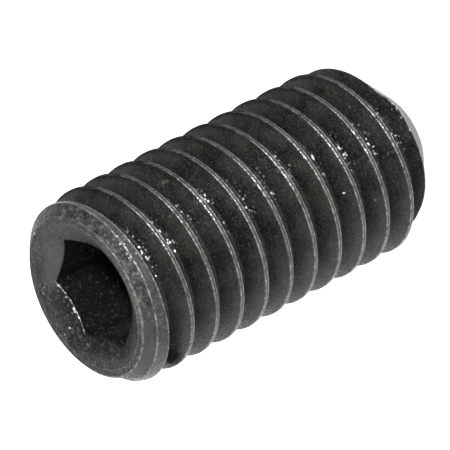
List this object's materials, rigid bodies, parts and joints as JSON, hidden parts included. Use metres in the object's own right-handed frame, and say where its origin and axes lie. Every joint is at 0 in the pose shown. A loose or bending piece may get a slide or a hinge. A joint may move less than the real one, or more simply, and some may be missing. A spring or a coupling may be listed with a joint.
{
  "type": "grub set screw",
  "caption": "Headless steel set screw, threaded over its whole length, with a hexagon socket in one end and a cup point at the other.",
  "frame": {"origin": "centre of the cup's rim, on which the screw stands", "axes": "+Z along the screw's axis, out of the hexagon socket; one corner of the socket lies 3 degrees from +X towards +Y, and the flats on the Y side face 3 degrees away from +Y and -Y"},
  "size_m": [0.005, 0.005, 0.01],
  "materials": {
    "black_oxide_steel": "black oxide with a film of oil, worn to bare grey along the crests and on the end face"
  },
  "bodies": {
    "root": {"set_screw": "black_oxide_steel"}
  },
  "joints": []
}
